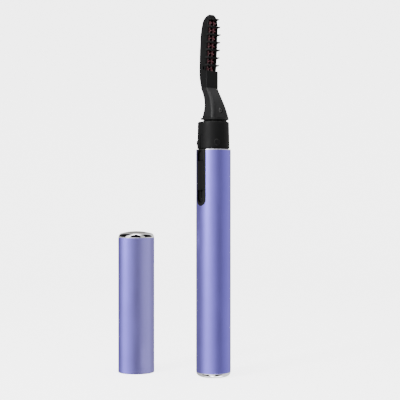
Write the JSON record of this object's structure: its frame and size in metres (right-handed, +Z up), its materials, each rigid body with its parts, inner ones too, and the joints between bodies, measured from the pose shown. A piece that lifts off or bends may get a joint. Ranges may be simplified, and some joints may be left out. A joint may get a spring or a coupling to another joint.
{
  "type": "heated eyelash curler",
  "caption": "Pen-shaped heated eyelash curler with a swept-back heated comb, a side slide switch and a separate push-on cap standing beside it.",
  "frame": {"origin": "centre of the flat disc under the chrome end button that the pen stands on", "axes": "+Z up the pen's axis towards the comb, +X the side the comb's points face, -Y the side of the thumb switch"},
  "size_m": [0.0478, 0.0332, 0.1585],
  "materials": {
    "anodised_lavender": "satin anodised",
    "chrome_button": "polished",
    "liner_plastic": "smooth",
    "chassis_plastic": "fine texture",
    "zinc_steel": "zinc plated",
    "black_steel": "black oxide",
    "black_plastic": "satin",
    "phenolic": "pressed laminate",
    "contact_brass": "tinned contact",
    "knob_plastic": "smooth",
    "board_laminate": "solder mask",
    "chip_ceramic": "fired",
    "cell_can": "bare metal can",
    "cell_jacket": "plain shrink sleeve",
    "plated_strip": "nickel plated",
    "red_insulation": "smooth",
    "black_insulation": "smooth",
    "heat_resin": "heat resistant resin",
    "rod_ceramic": "glazed ceramic",
    "winding_copper": "enamelled resistance wire"
  },
  "bodies": {
    "barrel": {"barrel_tube": "anodised_lavender", "barrel_end_plug": "chrome_button"},
    "chassis": {"chassis_frame": "chassis_plastic", "chassis_cover": "chassis_plastic", "chassis_screw": "zinc_steel", "head_screw": "black_steel", "collar": "black_plastic", "switch_bezel": "black_plastic", "head_neck": "black_plastic", "comb_guard": "black_plastic", "head_spine": "black_plastic", "switch_can": "zinc_steel", "switch_base": "phenolic", "switch_pins": "contact_brass", "circuit_board": "board_laminate", "chip_resistors": "chip_ceramic", "battery_cell": "cell_can", "battery_jacket": "cell_jacket", "positive_contact": "plated_strip", "negative_strip": "plated_strip", "negative_spring": "plated_strip", "wire_red": "red_insulation", "wire_black": "black_insulation", "heater_holder": "heat_resin", "heater_rods": "rod_ceramic", "heater_coil_left": "winding_copper", "heater_coil_right": "winding_copper", "heater_bridge": "winding_copper", "heater_leads": "winding_copper", "crimp_sleeves": "plated_strip"},
    "switch_slider": {"thumb_slider": "black_plastic", "switch_knob": "knob_plastic", "switch_wiper": "contact_brass"},
    "cap": {"cap_tube": "anodised_lavender", "cap_liner": "liner_plastic", "cap_end_plug": "chrome_button"}
  },
  "joints": [
    {"name": "chassis_pull", "type": "slide", "parent": "barrel", "child": "chassis", "axis": [0, 0, 1], "range_m": [0, 0.095]},
    {"name": "switch_slide", "type": "slide", "parent": "chassis", "child": "switch_slider", "axis": [0, 0, 1], "range_m": [0, 0.003]},
    {"name": "cap_lift", "type": "slide", "parent": "barrel", "child": "cap", "axis": [0, 0, 1], "range_m": [0, 0.15]}
  ]
}
